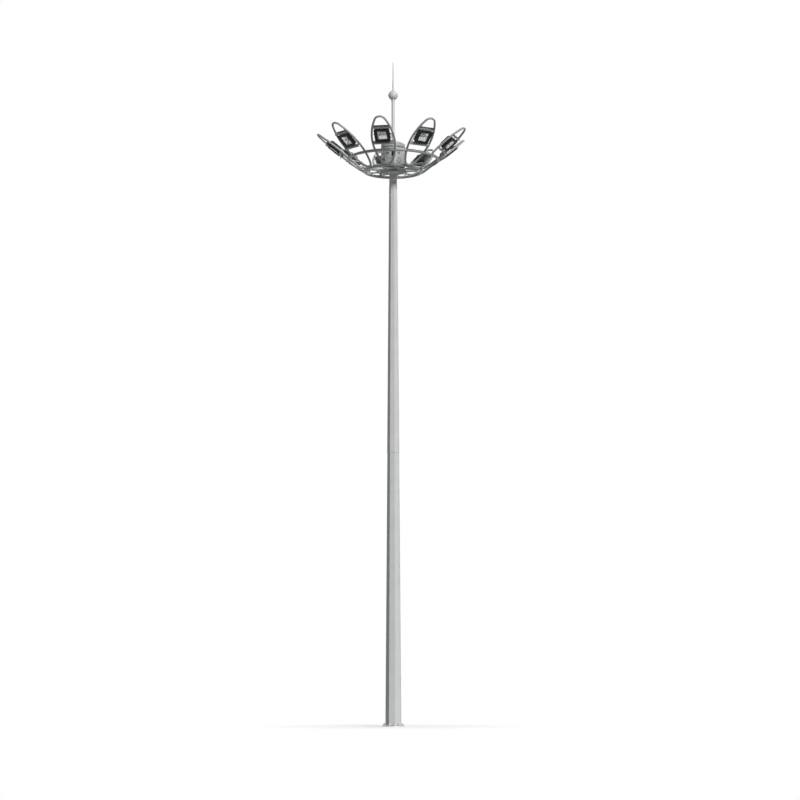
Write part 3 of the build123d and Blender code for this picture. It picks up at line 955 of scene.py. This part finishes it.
def lamp_meshes():
    """Double-ended tubular lamp across the reflector, its ceramic ends and its near-black glare shade, a real
    shade that also paints the lamp's dark shadow band.
    """
    across = Matrix.Rotation(math.pi / 2, 4, "Y")
    height = GLASS_LOW.z - LAMP_BEHIND
    place = Matrix.Translation((0, 0.0, height)) @ across
    bm = bmesh.new()
    half = LAMP_HALF
    lathe(bm, [(0.006, -half), (0.017, -half + 0.010), (0.021, -half + 0.025), (0.022, 0),
               (0.021, half - 0.025), (0.017, half - 0.010), (0.006, half)], place, 24)
    glass_part = finished(bm, "lamp", LAMP, smooth=60)
    bm = bmesh.new()
    for side in (-1, 1):
        end = place @ Matrix.Translation((0, 0, side * (half + 0.008)))
        lathe(bm, [(0.010, -0.014), (0.013, -0.012), (0.013, 0.010), (0.009, 0.014)], end, 20)
        foot = side * (half + 0.012)
        box(bm, (foot - 0.007, -0.016, height - 0.045), (foot + 0.007, 0.016, height - 0.008),
            soft=0.003)
    ceramic_part = finished(bm, "lamp_ends", CERAMIC)
    # Glare shade in near-black: a real shade that also paints the lamp's dark shadow band over the reflector.
    bm = bmesh.new()
    rings = []
    for i in range(13):
        angle = math.radians(-130 + 110 * i / 12)
        edge = Vector((0, SHADE_RADIUS * math.sin(angle), SHADE_RADIUS * math.cos(angle) + height))
        rings.append([
            bm.verts.new(edge + Vector((side * SHADE_HALF, 0, 0))) for side in (-1, 1)
        ])
    skin(bm, rings, closed=False)
    shade_part = finished(bm, "lamp_shade", PAINTED_SHADE_SHEET, solid=SHEET)
    return glass_part, ceramic_part, shade_part


def window_gasket_mesh():
    """Thin rubber lip round the window, just in front of the glass."""
    bm = bmesh.new()
    width = 2 * (GLASS_HIGH.x - GASKET_INSET)
    length = 2 * (GLASS_HIGH.y - GASKET_INSET)
    outer = rounded_outline(width - 0.0005, length - 0.0005, 0.040, 8)
    inner = rounded_outline(width - 0.016, length - 0.016, 0.032, 8)
    base = GLASS_HIGH.z
    rings = []
    for outline, height in (
        (outer, base), (outer, base + 0.008), (inner, base + 0.003), (inner, base),
    ):
        rings.append([bm.verts.new((x, y, height)) for x, y in outline])
    skin(bm, rings, joined=True)
    return finished(bm, "window_gasket", RUBBER)


def frame_fittings_mesh():
    """Screws on the front frame, two hinge knuckles at the tip end and two toggle latches."""
    bm = bmesh.new()
    front = FRAME_HIGH.z
    half_x = FRAME_HIGH.x
    half_y = FRAME_HIGH.y
    for x in (-half_x + 0.03, half_x - 0.03):
        for y in (-half_y + 0.035, -0.10, 0.10, half_y - 0.035):
            lathe(bm, [(0.008, -0.001), (0.008, 0.002), (0.0055, 0.0045)],
                  Matrix.Translation((x, y, front)), 16)
    back = FRAME_LOW.z
    across = Matrix.Rotation(math.pi / 2, 4, "Y")
    for x in (-HINGE_SPACING, HINGE_SPACING):
        hinge = Matrix.Translation((x, half_y + 0.002, back)) @ across
        lathe(bm, [(0.007, -0.03), (0.008, -0.028), (0.008, 0.028), (0.007, 0.03)], hinge, 16)
        box(bm, (x - 0.024, half_y - 0.012, back - 0.022),
            (x + 0.024, half_y - 0.006, back + 0.014))
    for x in (-HINGE_SPACING, HINGE_SPACING):
        box(bm, (x - 0.014, -half_y - 0.006, back - 0.030),
            (x + 0.014, -half_y + 0.004, back + 0.018), soft=0.002)
        roll = Matrix.Translation((x, -half_y - 0.004, back + 0.016)) @ across
        lathe(bm, [(0.004, -0.018), (0.005, -0.016), (0.005, 0.016), (0.004, 0.018)], roll, 12)
    return finished(bm, "frame_fittings", BLACK_STEEL)


def housing_fins_mesh():
    """Cooling fins along the housing's back, with a gear lid between them."""
    bm = bmesh.new()
    back = HOUSING_LOW.z
    inverse = LIGHT_PLACE.inverted()
    points = [inverse @ p for p in node_points("floodlight_1_housing")]
    rear = [p for p in points if p.z < back + 0.0005]
    reach = max(p.y for p in rear) - 0.006
    spread = max(p.x for p in rear) - 0.010
    outline = [(-reach, 0.002), (-reach + 0.015, -0.014), (reach - 0.015, -0.014), (reach, 0.002)]
    for i in range(FINS):
        x = -spread + 2 * spread * i / (FINS - 1)
        place = Matrix(((0, 0, 1, x), (1, 0, 0, 0), (0, 1, 0, back), (0, 0, 0, 1)))
        prism(bm, outline, -FIN_HALF, FIN_HALF, place)
    lid = rounded_outline(0.20, 0.17, 0.02, 5)
    flip = Matrix.Translation((0, -reach * 0.30, back)) @ Matrix.Rotation(math.pi, 4, "X")
    prism(bm, lid, -0.001, LID_THICK, flip, 0.004)
    for x in (-0.085, 0.085):
        for y in (-0.07, 0.07):
            screw = flip @ Matrix.Translation((x, y, LID_THICK))
            lathe(bm, [(0.006, 0), (0.006, 0.002), (0.004, 0.004)], screw, 12)
    return finished(bm, "housing_fins", MAT["floodlight_housing"])


def pivot_nuts_mesh():
    """Nut and washer on each trunnion outside the stirrup, and a lock disc inside it."""
    bm = bmesh.new()
    arm_outer = HOUSING_HIGH.x - STIRRUP_ARM
    for side in (-1, 1):
        outward = Matrix.Rotation(side * math.pi / 2, 4, "Y")
        place = Matrix.Translation((side * (arm_outer + 0.0006), 0, 0)) @ outward
        hex_bolt(bm, place, 0.026, stud=0.004)
        disc = Matrix.Translation((side * (arm_outer - 0.0165), 0, 0)) @ outward
        lathe(bm, [(0.036, 0), (0.038, 0.002), (0.038, 0.005), (0.036, 0.007)], disc, 36)
    return finished(bm, "pivot_nuts", BOLT)


def stirrup_bolts_mesh():
    """Two bolts that hold the stirrup's foot to the cross bar's web."""
    bm = bmesh.new()
    inner_face = FRAME_LOW.y - STIRRUP_GAP
    for x in (-BOLT_SPACING, BOLT_SPACING):
        head = Matrix.Translation((x, inner_face, 0)) @ Matrix.Rotation(-math.pi / 2, 4, "X")
        lathe(bm, [(0.014, -0.001), (0.014, 0.0015), (0.008, 0.0035)], head, 20)
        behind = Matrix.Translation((x, inner_face - 0.0145, 0))
        hex_bolt(bm, behind @ Matrix.Rotation(math.pi / 2, 4, "X"), 0.013, stud=0.010)
    return finished(bm, "stirrup_bolts", BOLT)


def floodlights():
    """Each floodlight's fittings on its own body, and its stirrup's bolts on the tower."""
    lamp_glass, lamp_ends, lamp_shade = lamp_meshes()
    on_light = [
        ("reflector", reflector_mesh(), "stirrup"),
        ("lamp", lamp_glass, "glass"),
        ("lamp_ends", lamp_ends, "hub_paint"),
        ("lamp_shade", lamp_shade, "floodlight_frame"),
        ("window_gasket", window_gasket_mesh(), "floodlight_frame"),
        ("frame_fittings", frame_fittings_mesh(), "stirrup"),
        ("housing_fins", housing_fins_mesh(), "floodlight_housing"),
        ("pivot_nuts", pivot_nuts_mesh(), "stirrup"),
    ]
    bolts = stirrup_bolts_mesh()
    for body, place in FLOODLIGHTS.items():
        for name, mesh, slot in on_light:
            show(f"{body}_{name}", mesh, body, place)
        show(f"{body}_stirrup_bolts", bolts, ROOT, place)


# ---------------------------------------------------------------- stage, light and camera

FLOOR_LEVEL = -0.0005
FLOOR_BOUNCE = 0.27
SKY_LIGHT = 0.06


def stage():
    """Pale floor that fades to white away from the tower."""
    bm = bmesh.new()
    rings = []
    for radius in (0.02, 2, 5, 9, 16, 40, 120, 400):
        rings.append([
            bm.verts.new(polar(2 * math.pi * i / 64, FLOOR_LEVEL, radius)) for i in range(64)
        ])
    skin(bm, rings)
    bm.faces.new(rings[0])
    mesh = bpy.data.meshes.new("floor")
    bm.to_mesh(mesh)
    bm.free()
    material, tree, shader = new_material("floor_white")
    place = node(tree, "ShaderNodeTexCoord")
    length = node(tree, "ShaderNodeVectorMath", operation="LENGTH")
    tree.links.new(place.outputs["Object"], length.inputs[0])
    fade = node(tree, "ShaderNodeMapRange")
    fade.inputs["From Min"].default_value = 1.0
    fade.inputs["From Max"].default_value = 5.0
    fade.inputs["To Min"].default_value = 0.4
    tree.links.new(length.outputs["Value"], fade.inputs["Value"])
    light = node(tree, "ShaderNodeEmission")
    light.inputs["Color"].default_value = (1, 1, 1, 1)
    rays = node(tree, "ShaderNodeLightPath")
    dim = node(tree, "ShaderNodeMix", data_type="FLOAT")
    dim.inputs[2].default_value = FLOOR_BOUNCE
    dim.inputs[3].default_value = 1.0
    tree.links.new(seen(tree, rays), dim.inputs[0])
    tree.links.new(dim.outputs[0], light.inputs["Strength"])
    blend = node(tree, "ShaderNodeMixShader")
    tree.links.new(fade.outputs["Result"], blend.inputs[0])
    tree.links.new(shader.outputs[0], blend.inputs[1])
    tree.links.new(light.outputs[0], blend.inputs[2])
    tree.links.new(blend.outputs[0], tree.nodes["Material Output"].inputs["Surface"])
    tone = mixed(tree, seen(tree, rays), grey(0.35), grey(0.86))
    tree.links.new(tone, shader.inputs["Base Color"])
    shader.inputs["Roughness"].default_value = 0.8
    mesh.materials.append(material)
    floor = bpy.data.objects.new("floor", mesh)
    bpy.context.scene.collection.objects.link(floor)


def seen(tree, rays):
    """1 for what the eye or a reflection sees, 0 for soft light on surfaces."""
    both = node(tree, "ShaderNodeMath", operation="MAXIMUM")
    tree.links.new(rays.outputs["Is Camera Ray"], both.inputs[0])
    tree.links.new(rays.outputs["Is Glossy Ray"], both.inputs[1])
    return both.outputs[0]


def sky():
    """White backdrop to the eye, which lights the tower only a little."""
    world = bpy.data.worlds.new("studio")
    bpy.context.scene.world = world
    world.use_nodes = True
    tree = world.node_tree
    back = tree.nodes["Background"]
    back.inputs["Color"].default_value = (1, 1, 1, 1)
    rays = node(tree, "ShaderNodeLightPath")
    strength = node(tree, "ShaderNodeMix", data_type="FLOAT")
    strength.inputs[2].default_value = SKY_LIGHT
    strength.inputs[3].default_value = 1.0
    tree.links.new(seen(tree, rays), strength.inputs[0])
    tree.links.new(strength.outputs[0], back.inputs["Strength"])


def sun(name, azimuth, elevation, strength, softness):
    """Soft far lamp; azimuth is measured from the camera's side, towards its right."""
    data = bpy.data.lights.new(name, "SUN")
    data.energy = strength
    data.angle = math.radians(softness)
    lamp = bpy.data.objects.new(name, data)
    bpy.context.scene.collection.objects.link(lamp)
    heading = CAMERA_AZIMUTH + math.radians(azimuth)
    climb = math.radians(elevation)
    towards = Vector((
        math.sin(heading) * math.cos(climb), -math.cos(heading) * math.cos(climb), math.sin(climb)
    ))
    lamp.rotation_mode = "QUATERNION"
    lamp.rotation_quaternion = towards.to_track_quat("Z", "Y")


def camera():
    """Camera at the photo's viewpoint."""
    data = bpy.data.cameras.new("camera")
    data.sensor_width = 36
    data.lens = CAMERA_LENS
    data.clip_start = 1
    data.clip_end = 1000
    made = bpy.data.objects.new("camera", data)
    bpy.context.scene.collection.objects.link(made)
    bpy.context.scene.camera = made
    towards = Vector((-math.sin(CAMERA_AZIMUTH), math.cos(CAMERA_AZIMUTH), 0))
    right = Vector((math.cos(CAMERA_AZIMUTH), math.sin(CAMERA_AZIMUTH), 0))
    made.location = -towards * CAMERA_DISTANCE + UP * CAMERA_HEIGHT
    level = towards * math.cos(CAMERA_TURN) + right * math.sin(CAMERA_TURN)
    look = level * math.cos(CAMERA_TILT) + UP * math.sin(CAMERA_TILT)
    made.rotation_mode = "QUATERNION"
    made.rotation_quaternion = look.to_track_quat("-Z", "Y") @ Quaternion((0, 0, 1), CAMERA_ROLL)


bpy.context.scene.view_settings.view_transform = "Standard"
camera()
sky()
sun("key", 30, 30, 3.1, 14)
sun("back", 155, 40, 1.1, 30)
stage()

paint_nodes()
anchor_bolts()
mast_welds()
door_fittings()
spigot_fittings()
hub_arches()
hub_details()
cap_details()
rod_details()
crown_welds()
floodlights()
